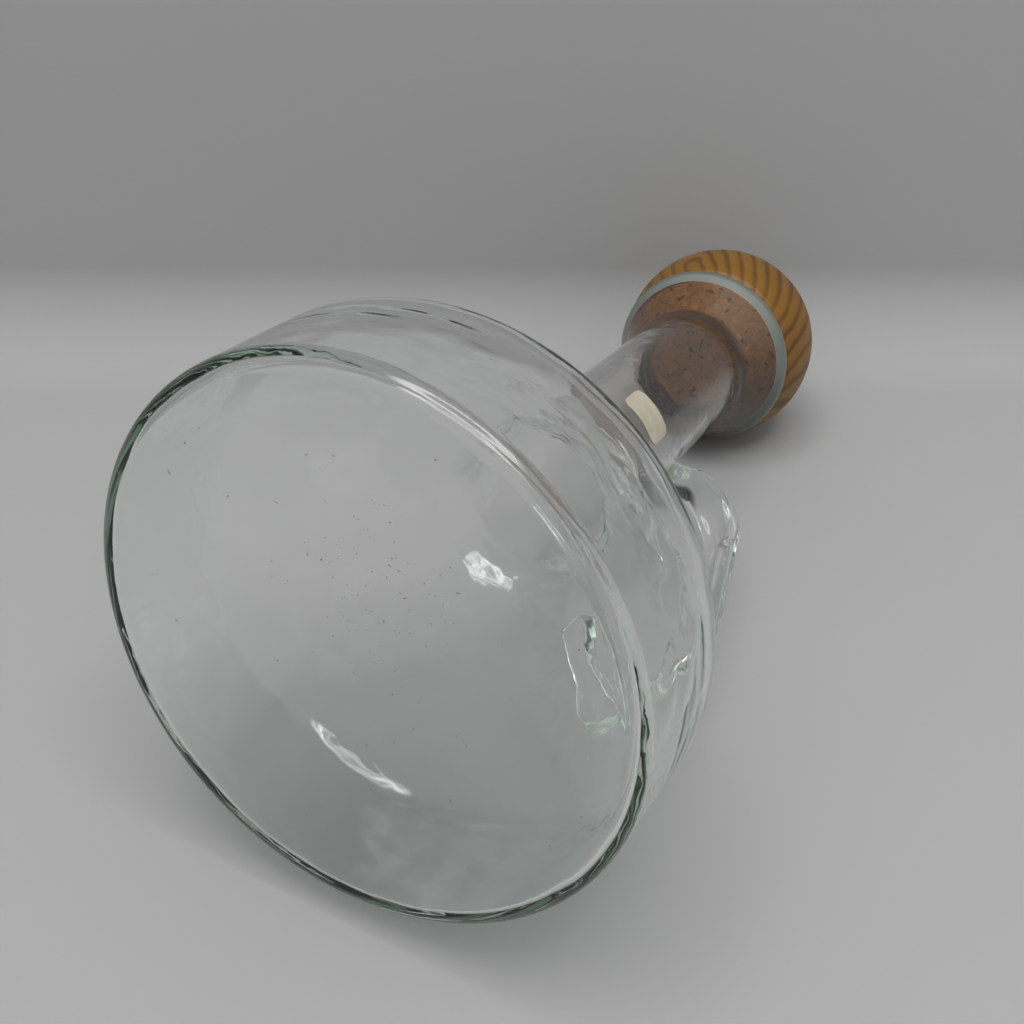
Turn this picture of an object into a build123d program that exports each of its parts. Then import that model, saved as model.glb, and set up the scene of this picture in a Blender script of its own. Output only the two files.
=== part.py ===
from build123d import *
import math
import os

# Stoppered glass carafe, in millimetres.
# The origin is the centre of the plane that the base rests on, +Z runs up the
# axis to the stopper, and the handle lies in the +X half of the XZ plane.

# Vessel, outer surface
base_radius = 64.9
shoulder_radius = 66.1
shoulder_height = 37.2
cone_angle = 44
neck_radius = 19.2
mouth_radius = 29.7
mouth_height = 215.0
flare_angle = 36
base_fillet = 4.6
shoulder_fillet = 10.2
neck_root_fillet = 16.0
flare_fillet = 10.0

# Glass wall and the shallow dome pushed up into the base
wall = 2.6
lip_fillet = 1.25
dome_radius = 50.0
dome_rise = 1.4

# Handle: a strap of hot glass that leaves the neck and is pressed onto the shoulder
strap_width = 14.0
strap_thickness = 7.5
handle_route = [(15, 138), (31, 161), (46, 151), (60, 101), (52, 50)]
handle_fillets = [12, 13, 30]
pad_inner = 30.0
pad_outer = 52.5
pad_width = 11.0
pad_height = 2.4
pad_root = 1.8
pad_corner = 3.0

# Stopper: wooden ball, cork plug, and the dowel that is glued into both
ball_radius = 32.6
ball_centre = 230.8
ball_flat = 216.0
ball_edge = 0.8
cork_foot_radius = 16.2
cork_foot = 201.5
cork_seat_radius = 25.2
cork_seat = 212.1
cork_chamfer = 0.8
dowel_radius = 4.0
dowel_foot = 206.5
dowel_top = 240.0
dowel_chamfer = 0.6
glue_gap = 0.1

# Paper label on the neck
label_width = 15.0
label_height = 11.0
label_corner = 2.5
label_thickness = 0.25
label_gap = 0.05
label_centre = 126.0
label_bearing = -85.0

# Corners and slopes that follow from the sizes above
cone = math.radians(cone_angle)
flare = math.radians(flare_angle)
neck_root = shoulder_height + (shoulder_radius - neck_radius) * math.tan(cone)
half_wall = wall / 2
lip = (
    mouth_radius - half_wall + half_wall * (math.sin(flare) + math.cos(flare)),
    mouth_height - half_wall + half_wall * (math.cos(flare) - math.sin(flare)),
)
flare_start = lip[1] - (lip[0] - neck_radius) / math.tan(flare)
dome_sphere = (dome_radius**2 + dome_rise**2) / (2 * dome_rise)
vessel_corners = [
    (base_radius, 0),
    (shoulder_radius, shoulder_height),
    (neck_radius, neck_root),
    (neck_radius, flare_start),
]
vessel_fillets = [base_fillet, shoulder_fillet, neck_root_fillet, flare_fillet]


def outer_line():
    """Draw the outside of the vessel, from the axis under the base to the lip."""
    dome = RadiusArc((0, dome_rise), (dome_radius, 0), dome_sphere)
    FilletPolyline(dome @ 1, *vessel_corners, lip, radius=vessel_fillets)


# Vessel: drum, conical shoulder, neck and flared mouth in one wall of glass
with BuildPart() as glass_body:
    with BuildSketch(Plane.XZ):
        with BuildLine():
            outer_line()
            offset(amount=wall, side=Side.LEFT)
        make_face()
    revolve(axis=Axis.Z)
    rim_edges = glass_body.edges().filter_by(GeomType.CIRCLE).group_by(Axis.Z)[-2:]
    fillet(rim_edges[0] + rim_edges[1], lip_fillet)
glass_body.part.label = "glass_body"

# The vessel without its hollow, which trims what is fused onto the outside
with BuildPart() as vessel_core:
    with BuildSketch(Plane.XZ):
        with BuildLine():
            outer_line()
            Polyline(lip, (0, lip[1]), (0, dome_rise))
        make_face()
    revolve(axis=Axis.Z)

# Handle: the strap, and the pad where its end is pressed along the shoulder
pad_middle = (pad_inner + pad_outer) / 2
pad_length = (pad_outer - pad_inner) / math.cos(cone)
pad_rise = shoulder_height + (shoulder_radius - pad_middle) * math.tan(cone)
pad_plane = Plane(
    origin=(pad_middle, 0, pad_rise),
    x_dir=(math.cos(cone), 0, -math.sin(cone)),
    z_dir=(math.sin(cone), 0, math.cos(cone)),
)
with BuildPart() as handle:
    with BuildLine(Plane.XZ) as strap_line:
        FilletPolyline(*handle_route, radius=handle_fillets)
    with BuildSketch(Plane(origin=strap_line.line @ 0, x_dir=(0, 1, 0), z_dir=strap_line.line % 0)):
        Ellipse(strap_width / 2, strap_thickness / 2)
    sweep()
    with BuildSketch(pad_plane.offset(-pad_root)):
        RectangleRounded(pad_length, pad_width, pad_corner)
    extrude(amount=pad_root + pad_height)
    add(vessel_core.part, mode=Mode.SUBTRACT)
handle.part.label = "handle"

# Cork plug, tapered to the flare of the mouth, bored for the dowel
with BuildPart() as cork:
    with BuildSketch(Plane.XZ):
        with BuildLine():
            Polyline(
                (0, cork_foot),
                (cork_foot_radius, cork_foot),
                (cork_seat_radius, cork_seat),
                (cork_seat_radius, ball_flat),
                (0, ball_flat),
                close=True,
            )
        make_face()
    revolve(axis=Axis.Z)
    chamfer(cork.edges().group_by(Axis.Z)[0], cork_chamfer)
    with Locations((0, 0, ball_flat)):
        Hole(dowel_radius + glue_gap, ball_flat - dowel_foot + glue_gap)
cork.part.label = "cork"

# Wooden ball with a flat underside, bored for the dowel
with BuildPart() as wooden_ball:
    with Locations((0, 0, ball_centre)):
        Sphere(ball_radius)
    split(bisect_by=Plane.XY.offset(ball_flat), keep=Keep.TOP)
    fillet(wooden_ball.edges().group_by(Axis.Z)[0], ball_edge)
    with BuildSketch(Plane.XY.offset(ball_flat)):
        Circle(dowel_radius + glue_gap)
    extrude(amount=dowel_top - ball_flat + glue_gap, mode=Mode.SUBTRACT)
wooden_ball.part.label = "wooden_ball"

# Dowel hidden inside the stopper
with BuildPart() as dowel:
    with BuildSketch(Plane.XY.offset(dowel_foot)):
        Circle(dowel_radius)
    extrude(amount=dowel_top - dowel_foot)
    chamfer(dowel.edges().filter_by(GeomType.CIRCLE), dowel_chamfer)
dowel.part.label = "dowel"

# Label: a thin paper sheet bent round the neck
label_inner = neck_radius + label_gap
label_plane = Plane.XZ.rotated((0, 0, label_bearing + 90))
with BuildPart() as label:
    with BuildSketch(label_plane):
        with Locations((0, label_centre)):
            RectangleRounded(label_width, label_height, label_corner)
    extrude(amount=neck_radius * 2)
    with BuildSketch(Plane.XY):
        Circle(label_inner + label_thickness)
        Circle(label_inner, mode=Mode.SUBTRACT)
    extrude(amount=mouth_height, mode=Mode.INTERSECT)
label.part.label = "label"

os.makedirs("parts", exist_ok=True)
for piece in (glass_body, handle, cork, wooden_ball, dowel, label):
    export_step(piece.part, f"parts/{piece.part.label}.step")
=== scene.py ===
import bpy
import math
import random
from mathutils import Matrix, Vector, kdtree, noise


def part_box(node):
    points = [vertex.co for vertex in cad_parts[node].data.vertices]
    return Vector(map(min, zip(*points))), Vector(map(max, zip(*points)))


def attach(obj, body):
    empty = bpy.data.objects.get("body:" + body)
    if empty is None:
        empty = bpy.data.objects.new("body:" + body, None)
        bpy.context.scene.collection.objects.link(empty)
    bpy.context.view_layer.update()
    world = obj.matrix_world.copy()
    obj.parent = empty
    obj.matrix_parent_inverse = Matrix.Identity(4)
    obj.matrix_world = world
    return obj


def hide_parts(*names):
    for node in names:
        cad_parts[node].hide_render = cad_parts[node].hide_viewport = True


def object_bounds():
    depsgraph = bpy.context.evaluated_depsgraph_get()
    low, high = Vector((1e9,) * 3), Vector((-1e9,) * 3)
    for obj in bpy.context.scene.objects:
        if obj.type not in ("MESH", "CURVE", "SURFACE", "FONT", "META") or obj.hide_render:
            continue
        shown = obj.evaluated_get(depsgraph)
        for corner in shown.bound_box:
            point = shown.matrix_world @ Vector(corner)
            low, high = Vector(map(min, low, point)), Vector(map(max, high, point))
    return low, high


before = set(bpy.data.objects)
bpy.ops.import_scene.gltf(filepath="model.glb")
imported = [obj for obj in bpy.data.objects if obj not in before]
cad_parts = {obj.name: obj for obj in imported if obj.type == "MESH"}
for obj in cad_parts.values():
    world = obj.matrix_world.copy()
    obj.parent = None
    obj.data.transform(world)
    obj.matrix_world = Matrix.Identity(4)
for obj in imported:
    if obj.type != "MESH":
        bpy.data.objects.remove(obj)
cad_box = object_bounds()
MM = 0.001

# ------------------------------------------------------------------ sizes from the frame
MOUTH_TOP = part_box("glass_body")[1].z
ball_low, ball_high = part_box("wooden_ball")
cork_low, cork_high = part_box("cork")

BALL = ball_high.x
BALL_CENTRE = ball_high.z - BALL
BALL_FLAT = ball_low.z
CORK_FOOT, CORK_TOP = cork_low.z, cork_high.z
CORK_WIDE = cork_high.x

# ------------------------------------------------------------------ sizes of the glass
BASE = 64.9 * MM
SHOULDER_CORNER = (66.1 * MM, 37.2 * MM)
NECK = 19.2 * MM
MOUTH = 29.7 * MM
CONE_SLOPE = math.radians(44)
FLARE_SLOPE = math.radians(36)
WALL = 2.6 * MM
DOME_RADIUS, DOME_RISE = 50 * MM, 1.4 * MM
BASE_FILLET, SHOULDER_FILLET = 4.6 * MM, 10.2 * MM
ROOT_FILLET, FLARE_FILLET = 16 * MM, 10 * MM
NECK_ROOT = SHOULDER_CORNER[1] + (SHOULDER_CORNER[0] - NECK) * math.tan(CONE_SLOPE)
DOME_SPHERE = (DOME_RADIUS**2 + DOME_RISE**2) / (2 * DOME_RISE)
HAIR = 1e-6


# ------------------------------------------------------------------ mesh helpers
def rounded(points, radii, step=math.radians(4)):
    """The polyline through points with its inner corners rounded to radii, as closely spaced points."""
    line = [Vector(points[0])]
    for before, corner, after, radius in zip(points, points[1:], points[2:], radii):
        corner = Vector(corner)
        u = (Vector(before) - corner).normalized()
        v = (Vector(after) - corner).normalized()
        half = u.angle(v) / 2
        centre = corner + (u + v).normalized() * radius / math.sin(half)
        start = corner + u * radius / math.tan(half) - centre
        turn = math.pi - 2 * half
        side = 1 if start.cross(v) > 0 else -1
        count = max(2, math.ceil(turn / step))
        for i in range(count + 1):
            a = side * turn * i / count
            spun = Vector((start.x * math.cos(a) - start.y * math.sin(a),
                           start.x * math.sin(a) + start.y * math.cos(a)))
            line.append(centre + spun)
    line.append(Vector(points[-1]))
    return line


def evenly(line, spacing):
    """The same line with extra points, so that no stretch is longer than spacing."""
    out = [line[0]]
    for p, q in zip(line, line[1:]):
        count = max(1, math.ceil((q - p).length / spacing))
        out += [p.lerp(q, i / count) for i in range(1, count + 1)]
    return out


def heading(line, i):
    """The unit direction of the line at its point i."""
    return (line[min(len(line) - 1, i + 1)] - line[max(0, i - 1)]).normalized()


def inward(line, depth):
    """The line moved depth to its left, which is into the wall for an outside that runs upward."""
    out = []
    for i, p in enumerate(line):
        along = heading(line, i)
        out.append(p + Vector((-along.y, along.x)) * depth)
    return out


def mesh_object(name, verts, faces):
    """A smooth-shaded object in the scene."""
    mesh = bpy.data.meshes.new(name)
    mesh.from_pydata(verts, [], faces)
    mesh.update()
    obj = bpy.data.objects.new(name, mesh)
    bpy.context.scene.collection.objects.link(obj)
    mesh.polygons.foreach_set("use_smooth", [True] * len(mesh.polygons))
    return obj


def lathe(outline, turns):
    """Vertices and faces of an (r, z) outline turned round the Z axis. Where the outline meets the axis it
    has a single vertex."""
    verts, faces, rows = [], [], []
    for r, z in outline:
        if r < HAIR:
            rows.append([len(verts)] * turns)
            verts.append(Vector((0, 0, z)))
        else:
            rows.append(list(range(len(verts), len(verts) + turns)))
            verts += [Vector((r * math.cos(math.tau * k / turns), r * math.sin(math.tau * k / turns), z))
                      for k in range(turns)]
    for low, high in zip(rows, rows[1:]):
        for k in range(turns):
            corners = (low[k], low[(k + 1) % turns], high[(k + 1) % turns], high[k])
            faces.append(list(dict.fromkeys(corners)))
    return verts, faces


def push(obj, amount):
    """Move every vertex along its normal by amount(index, position), and return the new positions."""
    spots = [v.co.copy() for v in obj.data.vertices]
    normals = [v.normal.copy() for v in obj.data.vertices]
    moved = [p + n * amount(i, p) for i, (p, n) in enumerate(zip(spots, normals))]
    obj.data.vertices.foreach_set("co", [c for p in moved for c in p])
    obj.data.update()
    return moved


def paint(obj, material):
    """Give the whole object one material."""
    obj.data.materials.clear()
    obj.data.materials.append(material)


# ------------------------------------------------------------------ outline of the vessel
DOME_STEPS = 24
LIP_STEPS = 12
VESSEL_TURNS = 210
OUTLINE_SPACING = 2 * MM


def dome_height(r):
    """Height of the pushed-up underside at radius r."""
    return math.sqrt(DOME_SPHERE**2 - r**2) - DOME_SPHERE + DOME_RISE if r < DOME_RADIUS else 0


def vessel_outside():
    """The outer line of the glass from the axis under the base to the lip, as (r, z) points."""
    half = WALL / 2
    lip = (MOUTH - half + half * (math.sin(FLARE_SLOPE) + math.cos(FLARE_SLOPE)),
           MOUTH_TOP - half + half * (math.cos(FLARE_SLOPE) - math.sin(FLARE_SLOPE)))
    flare_start = lip[1] - (lip[0] - NECK) / math.tan(FLARE_SLOPE)
    corners = [(DOME_RADIUS, 0), (BASE, 0), SHOULDER_CORNER, (NECK, NECK_ROOT), (NECK, flare_start), lip]
    sides = rounded(corners, [BASE_FILLET, SHOULDER_FILLET, ROOT_FILLET, FLARE_FILLET])
    dome = [Vector((r, dome_height(r))) for r in (DOME_RADIUS * i / DOME_STEPS for i in range(DOME_STEPS))]
    return evenly(dome + sides, OUTLINE_SPACING)


def vessel_outline(outside):
    """The outside, a rounded lip, then the inside back down to the axis; and how many points are outside."""
    half = WALL / 2
    inside = inward(outside, WALL)
    inside[0].x = 0
    end, inner_end = outside[-1], inside[-1]
    along = (outside[-1] - outside[-2]).normalized()
    middle = (end + inner_end) / 2 - along * half
    across = (end - inner_end).normalized()
    bend = [middle + across * half * math.cos(a) + along * half * math.sin(a)
            for a in (math.pi * i / LIP_STEPS for i in range(LIP_STEPS + 1))]
    outer = [p for p in outside if (p - middle).dot(along) < -HAIR]
    inner = [p for p in inside if (p - middle).dot(along) < -HAIR]
    return outer + bend + inner[::-1], len(outer)


# ------------------------------------------------------------------ waves of hand-made glass
# A swell is the size of its features, how many times longer they are round the axis, and a seed.
OUTER_WAVE, OUTER_SWELL = 0.05 * MM, (24 * MM, 2.0, 3.1)
OUTER_LUMPS, OUTER_LUMP_SWELL = 0.14 * MM, (9 * MM, 1.0, 6.3)
INNER_WAVE, INNER_SWELL = 0.22 * MM, (21 * MM, 1.0, 7.7)
LUMPS, LUMP_SWELL = 0.45 * MM, (9 * MM, 1.0, 4.4)
FINE_SHARE, FINE_SWELL = 0.45, (4.5 * MM, 1.0, 8.1)
STREAK, STREAK_SWELL = 0.04 * MM, (11 * MM, 3.0, 1.3)
# Heights where the lumps grow from their share on the drum, and where the glass grows calm up the neck.
LUMPS_FROM, LUMPS_RISE, DRUM_LUMPS = 45 * MM, 15 * MM, 0.4
CALM_FROM, CALM_RISE, CALM_LOSS = 98 * MM, 20 * MM, 0.8
# Extra thickness, and how far from the corner it falls away.
CORNER_EXTRA, CORNER_REACH = 0.9 * MM, 18 * MM
SHOULDER_EXTRA, SHOULDER_REACH = 1.2 * MM, 6 * MM
RIPPLE, RIPPLE_PITCH, RIPPLE_REACH, RIPPLE_HEIGHT = 0.17 * MM, 9 * MM, 40 * MM, 6 * MM
RIPPLE_CENTRE = (-6 * MM, -16 * MM)
RING_SHARE, RING_DRIFT, RING_SWELL = 0.55, 2.0, (26 * MM, 1.0, 9.2)
DENT_SHARE, DENT_SWELL = 1.3, (7 * MM, 1.8, 2.7)


def swell(p, size, stretch, seed):
    """Smooth noise, -1 to 1. Its features are size across, and stretch times longer round the axis."""
    r = math.hypot(p.x, p.y)
    bearing = math.atan2(p.y, p.x)
    ring = Vector((math.cos(bearing), math.sin(bearing))) * r / (size * stretch)
    return noise.noise(Vector((ring.x + seed, ring.y - seed, (p.z + r * (1 - 1 / stretch)) / size)))


def climb(z, start, length):
    """0 below start, rising to 1 over length."""
    return min(1.0, max(0.0, (z - start) / length))


def calm(p):
    """1 on the drum and the cone, falling to a fifth up the neck."""
    return 1 - CALM_LOSS * climb(p.z, CALM_FROM, CALM_RISE)


def outer_wave(p):
    """The outside is only ever lowered, so that it stays within the model's size."""
    slow = OUTER_WAVE * (0.5 + 0.5 * swell(p, *OUTER_SWELL))
    above = climb(p.z, LUMPS_FROM, LUMPS_RISE)
    lumps = calm(p) * above * OUTER_LUMPS * (0.5 + 0.5 * swell(p, *OUTER_LUMP_SWELL))
    return -slow - lumps


def pressed_base(p):
    """Rings and dents round the middle of the base, fading outward and upward."""
    r = math.hypot(p.x - RIPPLE_CENTRE[0], p.y - RIPPLE_CENTRE[1])
    share = max(0.0, 1 - p.z / RIPPLE_HEIGHT) * math.exp(-(r / RIPPLE_REACH)**2)
    ring = math.sin(math.tau * r / RIPPLE_PITCH + RING_DRIFT * swell(p, *RING_SWELL))
    return RIPPLE * share * (RING_SHARE * ring + DENT_SHARE * swell(p, *DENT_SWELL))


def inner_wave(p):
    """Thicker glass at the base corner and the shoulder, slow swells, lumps, streaks and the pressed base."""
    r = math.hypot(p.x, p.y)
    corner = math.hypot(r - BASE, p.z)
    shoulder = math.hypot(r - SHOULDER_CORNER[0], p.z - SHOULDER_CORNER[1])
    thick = (CORNER_EXTRA * math.exp(-corner / CORNER_REACH)
             + SHOULDER_EXTRA * math.exp(-shoulder / SHOULDER_REACH))
    slow = INNER_WAVE * swell(p, *INNER_SWELL)
    cone = min(1.0, DRUM_LUMPS + max(0.0, (p.z - LUMPS_FROM) / LUMPS_RISE))
    lumps = cone * LUMPS * (swell(p, *LUMP_SWELL) + FINE_SHARE * swell(p, *FINE_SWELL))
    streak = STREAK * swell(p, *STREAK_SWELL)
    return thick + calm(p) * (slow + lumps + streak) + pressed_base(p)


# ------------------------------------------------------------------ bubbles in the base
# Seeds are gathered near the middle, strays are spread out to the edge. Sizes are half widths in millimetres,
# depths are shares of the wall, and stretches are lengths over widths.
SEEDS, STRAY_SEEDS = 110, 26
SEED_CENTRE, SEED_SPREAD = (-6 * MM, -18 * MM), 13 * MM
SEED_SIZES, SEED_DEPTHS = (0.08, 0.21), (0.3, 0.7)
SEED_STRETCHES, STRAY_STRETCHES = (1.0, 1.0, 1.3, 2.4), (1.5, 3.0)
SEED_FLATNESS = 0.8
STRAY_MARGIN = 8 * MM
BUBBLE_ROWS, BUBBLE_TURNS = 5, 7
SEED_DRAW = 5


def bubble(verts, faces, centre, size, spin):
    """A closed void in the glass: an ellipsoid whose surface faces inward."""
    turned = Matrix.Rotation(spin, 3, "Z")
    first = len(verts)
    verts.append(centre - Vector((0, 0, size.z)))
    for i in range(1, BUBBLE_ROWS):
        a = math.pi * i / BUBBLE_ROWS
        for k in range(BUBBLE_TURNS):
            b = math.tau * k / BUBBLE_TURNS
            local = Vector((size.x * math.sin(a) * math.cos(b), size.y * math.sin(a) * math.sin(b),
                            -size.z * math.cos(a)))
            verts.append(centre + turned @ local)
    verts.append(centre + Vector((0, 0, size.z)))
    last = len(verts) - 1
    ring = [[first + 1 + i * BUBBLE_TURNS + k for k in range(BUBBLE_TURNS)] for i in range(BUBBLE_ROWS - 1)]
    for k in range(BUBBLE_TURNS):
        n = (k + 1) % BUBBLE_TURNS
        faces.append((first, ring[0][k], ring[0][n]))
        faces.append((last, ring[-1][n], ring[-1][k]))
        for low, high in zip(ring, ring[1:]):
            faces.append((low[k], high[k], high[n], low[n]))


def add_bubbles(verts, faces):
    """Fine seeds gathered near the middle of the base, and a few stray ones out to its edge."""
    rng = random.Random(SEED_DRAW)
    for i in range(SEEDS + STRAY_SEEDS):
        if i < SEEDS:
            x = rng.gauss(SEED_CENTRE[0], SEED_SPREAD)
            y = rng.gauss(SEED_CENTRE[1], SEED_SPREAD)
        else:
            bearing = rng.uniform(0, math.tau)
            r = (BASE - STRAY_MARGIN) * math.sqrt(rng.random())
            x, y = r * math.cos(bearing), r * math.sin(bearing)
        size = rng.uniform(*SEED_SIZES) * MM
        depth = rng.uniform(*SEED_DEPTHS) * WALL
        centre = Vector((x, y, dome_height(math.hypot(x, y)) + depth))
        long = rng.choice(SEED_STRETCHES if i < SEEDS else STRAY_STRETCHES)
        shape = Vector((size, size * long, size * SEED_FLATNESS))
        bubble(verts, faces, centre, shape, rng.uniform(0, math.pi))


def make_vessel(outside):
    """The glass of drum, cone, neck and mouth, waved and with its bubbles."""
    outline, outer_count = vessel_outline(outside)
    verts, faces = lathe(outline, VESSEL_TURNS)
    plain = mesh_object("plain_vessel", verts, faces)
    outer_verts = 1 + (outer_count - 1) * VESSEL_TURNS
    inner_verts = len(verts) - outer_verts

    def wave(i, p):
        if i < outer_verts:
            return outer_wave(p)
        return inner_wave(p) if i >= inner_verts else 0.0

    verts = push(plain, wave)
    bpy.data.objects.remove(plain)
    add_bubbles(verts, faces)
    return mesh_object("glass_vessel", verts, faces)


# ------------------------------------------------------------------ handle
# The strap's middle line as distance from the axis and height, and the radii of its bends, in millimetres.
HANDLE_ROUTE = [(14, 137), (30.7, 160.7), (45.6, 151), (59.7, 101), (52.6, 50.6), (30.2, 72.3)]
HANDLE_BENDS = [12, 13, 30, 2.6]
HANDLE_SPACING = 0.9 * MM
HANDLE_SIDES = 40
HANDLE_VOXEL = 0.4 * MM
HANDLE_SOFTENING = 14
HANDLE_WAVE, HANDLE_WAVE_SIZE = 0.12 * MM, 9 * MM
END_ROUNDING, END_LEFT = 2.2 * MM, 0.02 * MM
FUSED = 0.4 * MM
FREE_FROM_SKIN = 1 * MM
SKIN_SPACING = 0.25 * MM
# Share of the strap's length, then half width and half thickness in millimetres, and squareness.
HANDLE_SECTIONS = [(0.00, 6.6, 4.2, 1.0), (0.10, 6.2, 3.6, 1.0), (0.30, 6.9, 3.4, 0.95),
                   (0.55, 6.6, 3.1, 0.95), (0.70, 6.1, 2.3, 0.9), (0.80, 5.6, 1.5, 0.7),
                   (0.86, 5.5, 1.6, 0.5), (1.00, 5.5, 1.7, 0.4)]


def handle_section(s):
    """Half width, half thickness and squareness of the strap at the share s of its length."""
    for (s0, *low), (s1, *high) in zip(HANDLE_SECTIONS, HANDLE_SECTIONS[1:]):
        if s <= s1:
            u = (s - s0) / (s1 - s0)
            u = u * u * (3 - 2 * u)
            wide, thick, square = (a + (b - a) * u for a, b in zip(low, high))
            return wide * MM, thick * MM, square
    return HANDLE_SECTIONS[-1][1] * MM, HANDLE_SECTIONS[-1][2] * MM, HANDLE_SECTIONS[-1][3]


def squared(value, power):
    """A sine or cosine bent towards a squarer oval."""
    return math.copysign(abs(value)**power, value)


def swept_strap():
    """The strap as one closed sweep along its route."""
    route = rounded([Vector(p) * MM for p in HANDLE_ROUTE], [r * MM for r in HANDLE_BENDS])
    route = evenly(route, HANDLE_SPACING)
    lengths = [0.0]
    for p, q in zip(route, route[1:]):
        lengths.append(lengths[-1] + (q - p).length)
    total = lengths[-1]
    verts, faces = [], []
    for i, (p, length) in enumerate(zip(route, lengths)):
        along = heading(route, i)
        normal = Vector((-along.y, along.x))
        wide, thick, square = handle_section(length / total)
        edge = min(1.0, (total - length + END_LEFT) / END_ROUNDING)
        close = math.sqrt(1 - (1 - edge)**2)
        for k in range(HANDLE_SIDES):
            a = math.tau * k / HANDLE_SIDES
            out = p + normal * thick * close * squared(math.cos(a), square)
            verts.append(Vector((out.x, wide * math.sqrt(close) * squared(math.sin(a), square), out.y)))
    n = HANDLE_SIDES
    for i in range(len(route) - 1):
        for k in range(n):
            m = (k + 1) % n
            faces.append((i * n + k, i * n + m, (i + 1) * n + m, (i + 1) * n + k))
    faces.append(tuple(range(n)))
    faces.append(tuple(reversed(range(len(verts) - n, len(verts)))))
    return mesh_object("plain_strap", verts, faces)


def even_out(plain, name):
    """A new object: the plain one remeshed on a voxel grid and softened."""
    grid = plain.modifiers.new("grid", "REMESH")
    grid.mode = "VOXEL"
    grid.voxel_size = HANDLE_VOXEL
    soft = plain.modifiers.new("soft", "SMOOTH")
    soft.factor = 0.5
    soft.iterations = HANDLE_SOFTENING
    shaped = bpy.data.meshes.new_from_object(plain.evaluated_get(bpy.context.evaluated_depsgraph_get()))
    bpy.data.objects.remove(plain)
    obj = bpy.data.objects.new(name, shaped)
    bpy.context.scene.collection.objects.link(obj)
    shaped.polygons.foreach_set("use_smooth", [True] * len(shaped.polygons))
    return obj


def make_handle(outside):
    """The strap with a slow wave, cut back to where it is fused into the vessel's skin."""
    handle = even_out(swept_strap(), "glass_handle")
    skin = evenly(outside, SKIN_SPACING)
    tree = kdtree.KDTree(len(skin))
    for i, p in enumerate(skin):
        tree.insert((p.x, p.y, 0), i)
    tree.balance()

    def depth_of(p):
        """How deep p lies under the vessel's skin, and the way out."""
        r = math.hypot(p.x, p.y)
        _, i, _ = tree.find((r, p.z, 0))
        along = heading(skin, i)
        out = Vector((along.y, -along.x))
        return (skin[i] - Vector((r, p.z))).dot(out), Vector((out.x * p.x / r, out.x * p.y / r, out.y))

    def settle(_, p):
        """A wave on the free strap, and nothing near the vessel."""
        free = depth_of(p)[0] < -FREE_FROM_SKIN
        return HANDLE_WAVE * (noise.noise(p / HANDLE_WAVE_SIZE) - 1) if free else 0.0

    for v, p in zip(handle.data.vertices, push(handle, settle)):
        depth, out = depth_of(p)
        if depth > FUSED:
            v.co = p + out * (depth - FUSED)
    handle.data.update()
    return handle


# ------------------------------------------------------------------ stopper
CORK_GAP = 0.2 * MM
CORK_SEAT = 212.1 * MM
CORK_FOOT_RADIUS = 16.2 * MM
CORK_BEVELS = [1.6 * MM, 0.6 * MM, 0.3 * MM]
CORK_TURNS = 200
CORK_SPACING = 0.8 * MM
CORK_GRAIN, CORK_GRAIN_SIZE = 0.03 * MM, 1.2 * MM
PIT_DEPTH, PIT_SIZE, PIT_RARITY = 1.5 * MM, 2.6 * MM, 0.42
PIT_SEED = Vector((4, 0, 0))

BALL_SOFT_EDGE = 1.2 * MM
BALL_TURNS, BALL_FLAT_STEPS, BALL_ARC_STEPS = 200, 24, 110
BALL_WAVE, BALL_WAVE_SIZE = 0.03 * MM, 7 * MM


def make_cork():
    """A tapered plug a hair smaller than the flare, with a rounded foot and an uneven, pitted skin."""
    foot = CORK_FOOT_RADIUS - CORK_GAP
    seat = CORK_WIDE - CORK_GAP
    corners = [(0, CORK_FOOT), (foot, CORK_FOOT), (seat, CORK_SEAT), (seat, CORK_TOP), (0, CORK_TOP)]
    verts, faces = lathe(evenly(rounded(corners, CORK_BEVELS), CORK_SPACING), CORK_TURNS)
    cork = mesh_object("cork_plug", verts, faces)

    def worn(_, p):
        pit = PIT_DEPTH * max(0.0, noise.noise(p / PIT_SIZE + PIT_SEED) - PIT_RARITY)
        return -CORK_GRAIN * (1 + noise.noise(p / CORK_GRAIN_SIZE)) - pit

    push(cork, worn)
    return cork


def make_ball():
    """A turned ball with a flat underside, its edge barely eased, and a faint wave left by the sanding."""
    edge = math.acos((BALL_CENTRE - BALL_FLAT) / BALL)
    flat = BALL * math.sin(edge) - BALL_SOFT_EDGE
    first = edge + BALL_SOFT_EDGE / BALL
    under = [Vector((flat * i / BALL_FLAT_STEPS, BALL_FLAT)) for i in range(BALL_FLAT_STEPS + 1)]
    angles = [first + (math.pi - first) * i / BALL_ARC_STEPS for i in range(BALL_ARC_STEPS + 1)]
    arc = [Vector((BALL * math.sin(a), BALL_CENTRE - BALL * math.cos(a))) for a in angles]
    arc[-1].x = 0
    verts, faces = lathe(under + arc, BALL_TURNS)
    ball = mesh_object("stopper_ball", verts, faces)
    push(ball, lambda _, p: -BALL_WAVE * (1 + noise.noise(p / BALL_WAVE_SIZE)))
    return ball


# ------------------------------------------------------------------ materials
def new_material(name):
    """An empty node material and its tree."""
    material = bpy.data.materials.new(name)
    material.use_nodes = True
    material.node_tree.nodes.clear()
    return material, material.node_tree


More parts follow.
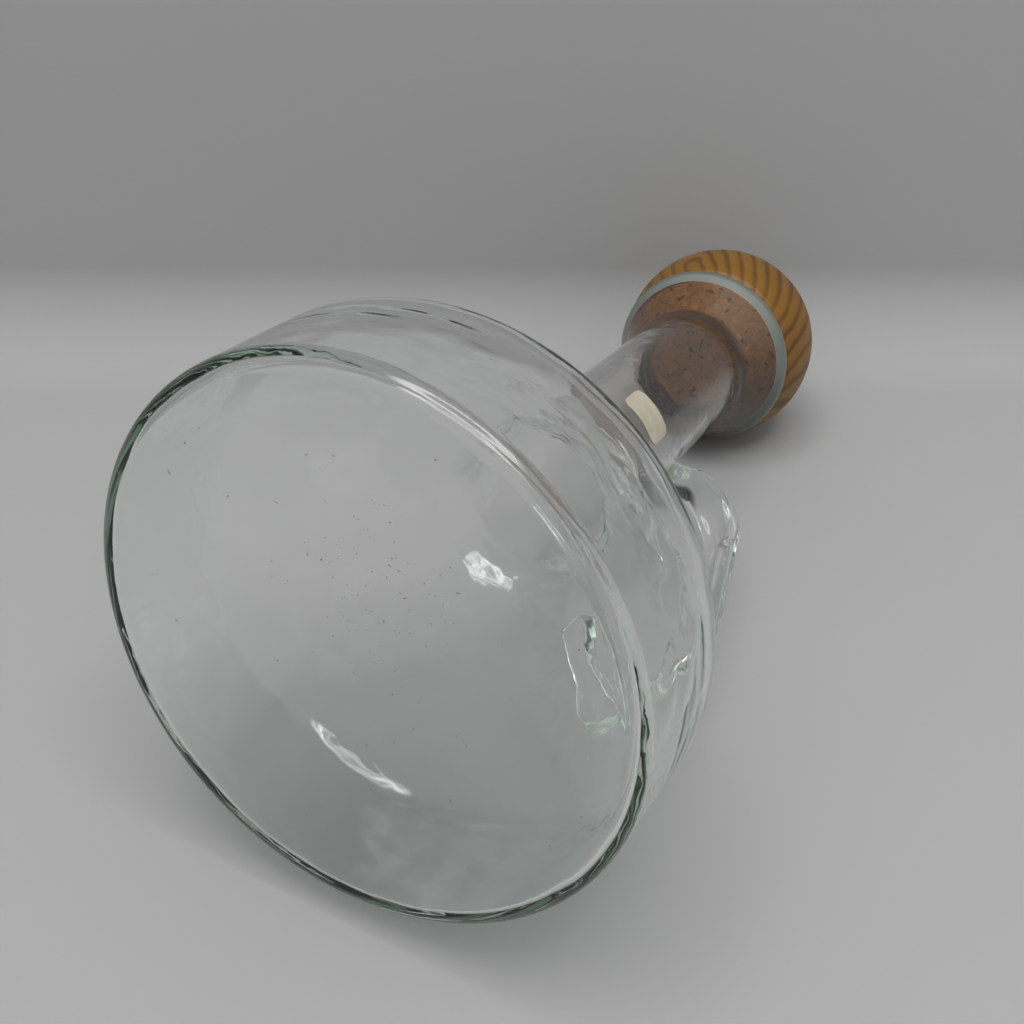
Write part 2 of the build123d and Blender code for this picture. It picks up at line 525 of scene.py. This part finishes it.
class Graph:
    """Short names for building a node tree."""

    def __init__(self, tree):
        self.tree = tree

    def add(self, kind, inputs=(), **settings):
        """A shader node with its settings, and its inputs linked or set."""
        node = self.tree.nodes.new("ShaderNode" + kind)
        for key, value in settings.items():
            setattr(node, key, value)
        for key, value in dict(inputs).items():
            if isinstance(value, bpy.types.NodeSocket):
                self.tree.links.new(value, node.inputs[key])
            else:
                node.inputs[key].default_value = value
        return node

    def math(self, operation, *values):
        return self.add("Math", dict(enumerate(values)), operation=operation).outputs[0]

    def vector_sum(self, first, second, scale):
        """first + second * scale, as vectors."""
        scaled = self.add("VectorMath", {0: second, "Scale": scale}, operation="SCALE").outputs[0]
        return self.add("VectorMath", {0: first, 1: scaled}, operation="ADD").outputs[0]

    def axis_distance(self, axes):
        """Distance from the Z axis, from separated X, Y and Z."""
        squares = [self.math("POWER", axes.outputs[k], 2.0) for k in (0, 1)]
        return self.math("SQRT", self.math("ADD", *squares))

    def place(self, scale=1.0, turn=(0, 0, 0), shift=(0, 0, 0)):
        """Object coordinates in millimetres, moved, turned and then scaled."""
        spot = self.add("TexCoord").outputs["Object"]
        mm = self.add("VectorMath", {0: spot, "Scale": 1 / MM}, operation="SCALE").outputs[0]
        moved = self.add("Mapping", {"Vector": mm, "Location": shift}).outputs[0]
        turned = self.add("Mapping", {"Vector": moved, "Rotation": turn}).outputs[0]
        return self.stretched(turned, scale if isinstance(scale, tuple) else (scale,) * 3)

    def stretched(self, where, scale):
        return self.add("Mapping", {"Vector": where, "Scale": scale}).outputs[0]

    def noise(self, where, scale=1.0, detail=3.0, rough=0.5):
        return self.add("TexNoise", {"Vector": where, "Scale": scale, "Detail": detail,
                                     "Roughness": rough}).outputs[0]

    def spread(self, value, low, high, out_low, out_high):
        return self.add("MapRange", {0: value, 1: low, 2: high, 3: out_low, 4: out_high}).outputs[0]

    def blend(self, share, first, second):
        """The first colour turning into the second as share goes from 0 to 1."""
        node = self.add("Mix", {0: share}, data_type="RGBA")
        for index, colour in ((6, first), (7, second)):
            if isinstance(colour, tuple):
                node.inputs[index].default_value = (*colour, 1)
            else:
                self.tree.links.new(colour, node.inputs[index])
        return node.outputs[2]

    def ramp(self, value, stops, interpolation="LINEAR"):
        """Grey levels at the given positions, from the first stop to the last."""
        node = self.add("ValToRGB", {0: value})
        ends = node.color_ramp.elements
        node.color_ramp.interpolation = interpolation
        for element, (position, level) in zip((ends[0], ends[1]), (stops[0], stops[-1])):
            element.position = position
            element.color = (level, level, level, 1)
        for position, level in stops[1:-1]:
            ends.new(position).color = (level, level, level, 1)
        return node.outputs[0]

    def bump(self, height, strength, distance):
        return self.add("Bump", {"Height": height, "Strength": strength, "Distance": distance}).outputs[0]

    def surface(self, shader):
        out = self.add("OutputMaterial")
        self.tree.links.new(shader, out.inputs["Surface"])
        return out


GLASS_TINT = (0.43, 0.69, 0.51, 1)
VESSEL_DENSITY, HANDLE_DENSITY = 8.5, 4.0
GLASS_IOR = 1.5
HAZE_ROUGHNESS = 0.012
SKIN_STRENGTH, SKIN_DEPTH = 0.2, 0.3 * MM
SHADOW_TINT, SHADOW_EDGE_TINT, SHADOW_EDGE = (0.966, 0.979, 0.971), (0.1, 0.12, 0.11), 0.75
FROST_TINT, FROST_ROUGHNESS, FROST_PASSING = (0.50, 0.56, 0.53), 0.7, 0.35
# In millimetres: how far from the flare's outer line the frosting ends, and its start above the cork's seat.
FROST_INNER, FROST_FADE = (1.6, 1.2), (0.3, 0.6)
FROST_TOP = (0.9, 0.6)


def frosted_lip(g):
    """1 on the inner edge and the top of the lip, 0 elsewhere."""
    axes = g.add("SeparateXYZ", {0: g.place()})
    height = axes.outputs[2]
    across = g.math("MULTIPLY_ADD", height, -math.tan(FLARE_SLOPE), g.axis_distance(axes))
    outer_line = (MOUTH - MOUTH_TOP * math.tan(FLARE_SLOPE)) / MM
    inner_side = g.spread(across, outer_line - FROST_INNER[0], outer_line - FROST_INNER[1], 1.0, 0.0)
    above_seat = g.spread(height, CORK_SEAT / MM + FROST_FADE[0], CORK_SEAT / MM + FROST_FADE[1], 0.0, 1.0)
    top = g.spread(height, MOUTH_TOP / MM - FROST_TOP[0], MOUTH_TOP / MM - FROST_TOP[1], 0.0, 1.0)
    return g.math("MAXIMUM", g.math("MULTIPLY", inner_side, above_seat), top)


def glass_material(name, density):
    """Clear glass with a green body colour, a frosted lip, faint haze and a finely uneven skin."""
    material, tree = new_material(name)
    g = Graph(tree)
    haze = g.noise(g.place(), scale=0.05, detail=4.0, rough=0.6)
    polished = g.spread(haze, 0.45, 0.75, 0.0, HAZE_ROUGHNESS)
    frost = frosted_lip(g)
    rough = g.math("MAXIMUM", polished, g.math("MULTIPLY", frost, FROST_ROUGHNESS))
    skin = g.noise(g.place(), scale=0.16, detail=2.0, rough=0.4)
    tint = g.blend(frost, (1.0, 1.0, 1.0), FROST_TINT)
    passing = g.spread(frost, 0.0, 1.0, 1.0, FROST_PASSING)
    glass = g.add("BsdfPrincipled", {"Base Color": tint, "Transmission Weight": passing, "IOR": GLASS_IOR,
                                     "Roughness": rough, "Normal": g.bump(skin, SKIN_STRENGTH, SKIN_DEPTH)})
    edge = g.math("POWER", g.add("LayerWeight", {"Blend": 0.5}).outputs["Facing"], 3.0)
    shade = g.blend(g.math("MULTIPLY", edge, SHADOW_EDGE), SHADOW_TINT, SHADOW_EDGE_TINT)
    clear = g.add("BsdfTransparent", {"Color": shade})
    path = g.add("LightPath")
    mix = g.add("MixShader", {0: path.outputs["Is Shadow Ray"], 1: glass.outputs[0], 2: clear.outputs[0]})
    out = g.surface(mix.outputs[0])
    absorb = g.add("VolumeAbsorption", {"Color": GLASS_TINT, "Density": density})
    tree.links.new(absorb.outputs[0], out.inputs["Volume"])
    return material


OAK, OAK_DARK = (0.25, 0.118, 0.011), (0.085, 0.032, 0.004)
# The growth rings' axis: its tilt, where it passes in millimetres, and the width of a year's growth.
BALL_TURN, BALL_SHIFT = (math.radians(24.6), 0, 0), (20.3, 2.9, -3.1 - BALL_CENTRE / MM)
BALL_PITCH, BALL_SHEEN = 4.3, 0.36
BIRCH, BIRCH_DARK = (0.46, 0.3, 0.15), (0.3, 0.17, 0.075)
DOWEL_SHIFT, DOWEL_PITCH, DOWEL_SHEEN = (11, 5, 0), 1.6, 0.5
WOOD_DRIFT = 9.0
WOOD_IOR = 1.45
WOOD_STRENGTH, WOOD_DEPTH = 0.25, 0.3 * MM
# How dark the wood is from the start of one year's growth to its end.
RING_STOPS = ((0.0, 0.05), (0.45, 0.22), (0.74, 0.95), (0.86, 0.8), (0.96, 0.2), (1.0, 0.3))


def wood_material(name, light, dark, turn, shift, pitch, sheen):
    """Growth rings round an axis, with fibres and pores drawn out along it."""
    material, tree = new_material(name)
    g = Graph(tree)
    where = g.place(turn=turn, shift=shift)
    drift = g.noise(where, scale=0.035, detail=3.0, rough=0.55)
    axes = g.add("SeparateXYZ", {0: g.vector_sum(where, drift, WOOD_DRIFT)})
    growth = g.math("FRACT", g.math("DIVIDE", g.axis_distance(axes), pitch))
    late = g.ramp(growth, RING_STOPS)
    fibre = g.noise(g.stretched(where, (2.2, 2.2, 0.10)), detail=4.0, rough=0.65)
    pore = g.noise(g.stretched(where, (3.4, 3.4, 0.35)), detail=2.0, rough=0.5)
    pores = g.spread(pore, 0.60, 0.72, 0.0, 1.0)
    cloud = g.noise(where, scale=0.06, detail=2.0, rough=0.5)
    base = g.blend(late, light, dark)
    grained = g.blend(g.spread(fibre, 0.3, 0.7, 0.0, 0.35), base, dark)
    warmed = g.blend(g.spread(cloud, 0.35, 0.7, 0.0, 0.25), grained, tuple(c * 1.25 for c in light))
    colour = g.blend(g.math("MULTIPLY", pores, 0.35), warmed, tuple(c * 0.4 for c in dark))
    wear = g.math("ADD", g.math("MULTIPLY", late, 0.4), fibre)
    rough = g.spread(wear, 0.2, 1.2, sheen, sheen + 0.22)
    relief = g.math("SUBTRACT", g.math("MULTIPLY", fibre, 0.5), pores)
    wood = g.add("BsdfPrincipled", {"Base Color": colour, "Roughness": rough, "IOR": WOOD_IOR,
                                    "Normal": g.bump(relief, WOOD_STRENGTH, WOOD_DEPTH)})
    g.surface(wood.outputs[0])
    return material


CORK_LIGHT, CORK_MIDDLE, CORK_DARK = (0.36, 0.148, 0.035), (0.25, 0.098, 0.022), (0.03, 0.012, 0.006)
GRANULES = 0.42
CORK_STRENGTH, CORK_DEPTH = 0.5, 0.4 * MM
# Painted shade in a ring round the cork's foot, where the gap to the glass lies in shade: in millimetres, and
# how dark it is.
FOOT_SHADE_RADIUS, FOOT_SHADE_TOP, FOOT_SHADE_DEPTH = 14.0, 204.4, 0.8


def painted_foot_shade(g, where):
    """How dark the painted shade is: a ring round the cork's foot, where the gap to the glass lies in shade.
    """
    axes = g.add("SeparateXYZ", {0: where})
    outside = g.spread(g.axis_distance(axes), FOOT_SHADE_RADIUS, FOOT_SHADE_RADIUS + 0.8, 0.0, 1.0)
    below = g.spread(axes.outputs[2], FOOT_SHADE_TOP - 1.0, FOOT_SHADE_TOP, 1.0, 0.0)
    return g.math("MULTIPLY", g.math("MULTIPLY", outside, below), FOOT_SHADE_DEPTH)


def cork_material():
    """Granules of different tints with dark seams, scattered dark pores, and a ring of painted shade at the
    foot.
    """
    material, tree = new_material("cork")
    g = Graph(tree)
    where = g.place()
    wobble = g.add("TexNoise", {"Vector": where, "Scale": 0.5, "Detail": 2.0}).outputs["Color"]
    warp = g.vector_sum(where, wobble, 1.2)
    grain = g.add("TexVoronoi", {"Vector": warp, "Scale": GRANULES}).outputs["Color"]
    seam = g.add("TexVoronoi", {"Vector": warp, "Scale": GRANULES}, feature="DISTANCE_TO_EDGE").outputs[0]
    tint = g.add("SeparateColor", {0: grain}).outputs[0]
    base = g.blend(g.spread(tint, 0.1, 0.9, 0.0, 1.0), CORK_MIDDLE, CORK_LIGHT)
    cloud = g.noise(where, scale=0.09, detail=4.0, rough=0.6)
    mottled = g.blend(g.spread(cloud, 0.35, 0.7, 0.0, 0.55), base, CORK_MIDDLE)
    seams = g.spread(seam, 0.0, 0.07, 0.35, 0.0)
    seamed = g.blend(seams, mottled, CORK_DARK)
    pit = g.noise(g.stretched(where, (0.5, 0.5, 0.34)), detail=1.0, rough=0.4)
    pits = g.spread(pit, 0.655, 0.70, 0.0, 0.9)
    speck = g.spread(g.noise(where, scale=1.1, detail=2.0), 0.64, 0.72, 0.0, 0.7)
    # The pits and specks are the cork's own; the ring at the foot is painted shade.
    dark = g.math("MAXIMUM", g.math("MAXIMUM", pits, speck), painted_foot_shade(g, where))
    colour = g.blend(dark, seamed, CORK_DARK)
    relief = g.math("SUBTRACT", g.math("MULTIPLY", cloud, 0.6), g.math("ADD", seams, pits))
    rough = g.spread(cloud, 0.3, 0.7, 0.78, 0.95)
    cork = g.add("BsdfPrincipled", {"Base Color": colour, "Roughness": rough, "Specular IOR Level": 0.25,
                                    "Normal": g.bump(relief, CORK_STRENGTH, CORK_DEPTH)})
    g.surface(cork.outputs[0])
    return material


PAPER, PAPER_AGED, PAPER_FIBRE = (0.50, 0.47, 0.38), (0.42, 0.38, 0.28), (0.34, 0.31, 0.24)
PAPER_STRENGTH, PAPER_DEPTH = 0.2, 0.1 * MM


def paper_material():
    """Uncoated cream paper with fibres and a little yellowing."""
    material, tree = new_material("label_paper")
    g = Graph(tree)
    fibre = g.noise(g.place((1.2, 3.0, 0.8)), detail=5.0, rough=0.7)
    cloud = g.noise(g.place(), scale=0.25)
    tint = g.blend(g.spread(cloud, 0.3, 0.7, 0.0, 1.0), PAPER, PAPER_AGED)
    colour = g.blend(g.spread(fibre, 0.55, 0.8, 0.0, 0.3), tint, PAPER_FIBRE)
    rough = g.spread(fibre, 0.3, 0.7, 0.55, 0.75)
    paper = g.add("BsdfPrincipled", {"Base Color": colour, "Roughness": rough, "Specular IOR Level": 0.35,
                                     "Normal": g.bump(fibre, PAPER_STRENGTH, PAPER_DEPTH)})
    g.surface(paper.outputs[0])
    return material


FLOOR_COLOUR, FLOOR_SHADE = (0.400, 0.402, 0.402), 0.96


def floor_material():
    """Matt pale card. Its back is left open, so that the view from below the floor isn't blocked."""
    material, tree = new_material("pale_card")
    g = Graph(tree)
    cloud = g.noise(g.place(), scale=0.012)
    colour = g.blend(cloud, FLOOR_COLOUR, tuple(c * FLOOR_SHADE for c in FLOOR_COLOUR))
    card = g.add("BsdfPrincipled", {"Base Color": colour, "Roughness": 0.8, "Specular IOR Level": 0.15})
    clear = g.add("BsdfTransparent")
    back = g.add("NewGeometry").outputs["Backfacing"]
    g.surface(g.add("MixShader", {0: back, 1: card.outputs[0], 2: clear.outputs[0]}).outputs[0])
    return material


# ------------------------------------------------------------------ the object
outside_line = vessel_outside()
vessel = make_vessel(outside_line)
handle = make_handle(outside_line)
cork = make_cork()
ball = make_ball()

paint(vessel, glass_material("clear_glass", VESSEL_DENSITY))
paint(handle, glass_material("clear_glass_strap", HANDLE_DENSITY))
paint(cork, cork_material())
paint(ball, wood_material("oiled_wood", OAK, OAK_DARK, BALL_TURN, BALL_SHIFT, BALL_PITCH, BALL_SHEEN))
paint(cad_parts["dowel"],
      wood_material("dowel_wood", BIRCH, BIRCH_DARK, (0, 0, 0), DOWEL_SHIFT, DOWEL_PITCH, DOWEL_SHEEN))
paint(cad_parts["label"], paper_material())

for piece, node, body, slot in ((vessel, "glass_body", "vessel", "clear_glass"),
                                (handle, "handle", "vessel", "clear_glass"),
                                (cork, "cork", "stopper", "cork"),
                                (ball, "wooden_ball", "stopper", "oiled_wood")):
    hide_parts(node)
    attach(piece, body)

# ------------------------------------------------------------------ camera
VIEW_AZIMUTH, VIEW_ELEVATION, VIEW_ROLL = math.radians(-3.0), math.radians(-52.53), math.radians(49.8)
VIEW_DISTANCE = 292.4 * MM
VIEW_TARGET = Vector((-1.36, 0.07, 75.4)) * MM
VIEW_LENS, FILM_WIDTH = 41.1, 36
NEAREST = 10 * MM


def view_axes():
    """The camera's right, up and back directions in the frame."""
    a, e = VIEW_AZIMUTH, VIEW_ELEVATION
    back = Vector((math.sin(a) * math.cos(e), -math.cos(a) * math.cos(e), math.sin(e)))
    right = Matrix.Rotation(VIEW_ROLL, 3, back) @ Vector((0, 0, 1)).cross(back).normalized()
    return right, back.cross(right), back


right, up, back = view_axes()
camera_data = bpy.data.cameras.new("camera")
camera_data.lens = VIEW_LENS
camera_data.sensor_width = FILM_WIDTH
camera_data.clip_start = NEAREST
camera = bpy.data.objects.new("camera", camera_data)
bpy.context.scene.collection.objects.link(camera)
turned = Matrix((right, up, back)).transposed().to_4x4()
camera.matrix_world = Matrix.Translation(VIEW_TARGET + back * VIEW_DISTANCE) @ turned
bpy.context.scene.camera = camera

# ------------------------------------------------------------------ floor that the object lies on
LIE_BEARING = math.radians(48.8)
# Metres: the card reaches this far towards the camera, away from it and to each side, then bends up a wall.
NEAR, FAR, WIDE, HIGH = 0.60, 0.237, 1.2, 1.0
BEND, BEND_STEPS = 0.036, 16


def floor_plane():
    """Point and normal of the plane that touches the shoulder and the ball at LIE_BEARING."""
    out = Vector((math.cos(LIE_BEARING), math.sin(LIE_BEARING), 0))
    low_r = SHOULDER_CORNER[0] - SHOULDER_FILLET
    low_z = SHOULDER_CORNER[1] - SHOULDER_FILLET * math.tan((math.pi / 2 - CONE_SLOPE) / 2)
    rise = BALL_CENTRE - low_z
    reach = math.hypot(rise, low_r)
    tilt = math.atan2(low_r, rise) - math.asin((BALL - SHOULDER_FILLET) / reach)
    normal = -(out * math.cos(tilt) + Vector((0, 0, 1)) * math.sin(tilt))
    touch = out * low_r + Vector((0, 0, low_z)) - normal * SHOULDER_FILLET
    return touch, normal


def make_floor(touch, floor_up, ahead):
    """A sweep of card: flat under the object, then curved up into a wall behind it."""
    side = ahead.cross(floor_up)
    bend = [(FAR - BEND + BEND * math.sin(a), BEND - BEND * math.cos(a))
            for a in (math.pi / 2 * i / BEND_STEPS for i in range(BEND_STEPS + 1))]
    profile = [(-NEAR, 0)] + bend + [(FAR, HIGH)]
    corners = [touch + ahead * along + floor_up * height + side * s
               for along, height in profile for s in (-WIDE, WIDE)]
    strips = [(2 * i, 2 * i + 1, 2 * i + 3, 2 * i + 2) for i in range(len(profile) - 1)]
    floor = mesh_object("floor", corners, strips)
    if floor.data.polygons[0].normal.dot(floor_up) < 0:
        floor.data.flip_normals()
    return floor


touch, floor_up = floor_plane()
ahead = -(back - floor_up * back.dot(floor_up)).normalized()
floor = make_floor(touch, floor_up, ahead)
paint(floor, floor_material())

# ------------------------------------------------------------------ light
# The room's brightness from below the floor's horizon to overhead, by the cosine from the floor's normal.
SKY_LOW, SKY_HIGH = 0.08, 0.84
SKY_FROM, SKY_TO = -0.6, 1.0

LIGHT_HEIGHT, LIGHT_NEARER = 1.0, 0.2
LIGHT_SIZE, LIGHT_POWER = (0.95, 0.6), 10.5
LIGHT_SQUARENESS = 2.6
LIGHT_STOPS = ((0.0, 0.05), (0.32, 0.15), (0.58, 1.5), (0.70, 1.4), (1.0, 0.0))


def make_sky(floor_up):
    """A plain room that is brighter overhead, as the object lies."""
    world = bpy.data.worlds.new("studio")
    bpy.context.scene.world = world
    world.use_nodes = True
    g = Graph(world.node_tree)
    way = g.add("TexCoord").outputs["Generated"]
    toward = g.add("VectorMath", {0: way, 1: tuple(floor_up)}, operation="DOT_PRODUCT").outputs["Value"]
    level = g.spread(toward, SKY_FROM, SKY_TO, SKY_LOW, SKY_HIGH)
    background = world.node_tree.nodes["Background"]
    world.node_tree.links.new(level, background.inputs["Color"])
    background.inputs["Strength"].default_value = 1.0


def window_light(name, place, target, size, power):
    """A soft rounded light with a dimmer middle and edges that fade out."""
    data = bpy.data.lights.new(name, "AREA")
    data.shape = "RECTANGLE"
    data.size, data.size_y = size
    data.energy = power
    data.use_nodes = True
    data.node_tree.nodes.clear()
    g = Graph(data.node_tree)
    spot = g.add("SeparateXYZ", {0: g.add("NewGeometry").outputs["Parametric"]})
    off = [g.math("ABSOLUTE", g.math("MULTIPLY_ADD", spot.outputs[k], 2.0, -1.0)) for k in (0, 1)]
    powers = [g.math("POWER", distance, LIGHT_SQUARENESS) for distance in off]
    away = g.math("POWER", g.math("ADD", *powers), 1 / LIGHT_SQUARENESS)
    shine = g.add("Emission", {"Color": g.ramp(away, LIGHT_STOPS, "EASE")})
    out = g.add("OutputLight")
    data.node_tree.links.new(shine.outputs[0], out.inputs["Surface"])
    light = bpy.data.objects.new(name, data)
    bpy.context.scene.collection.objects.link(light)
    aim = (place - target).normalized()
    light.matrix_world = Matrix.Translation(place) @ aim.to_track_quat("Z", "Y").to_matrix().to_4x4()


make_sky(floor_up)
middle = (cad_box[0] + cad_box[1]) / 2
window_light("overhead", middle + floor_up * LIGHT_HEIGHT - ahead * LIGHT_NEARER, middle,
             LIGHT_SIZE, LIGHT_POWER)

# ------------------------------------------------------------------ how light is followed
# Light caught in the glass wall bounces many times before it leaves.
WALL_BOUNCES, GLOSSY_BOUNCES, SHADOW_LAYERS = 128, 24, 32

scene = bpy.context.scene
scene.view_settings.view_transform = "Standard"
scene.cycles.caustics_refractive = False
scene.cycles.caustics_reflective = False
scene.cycles.max_bounces = WALL_BOUNCES
scene.cycles.transmission_bounces = WALL_BOUNCES
scene.cycles.glossy_bounces = GLOSSY_BOUNCES
scene.cycles.transparent_max_bounces = SHADOW_LAYERS
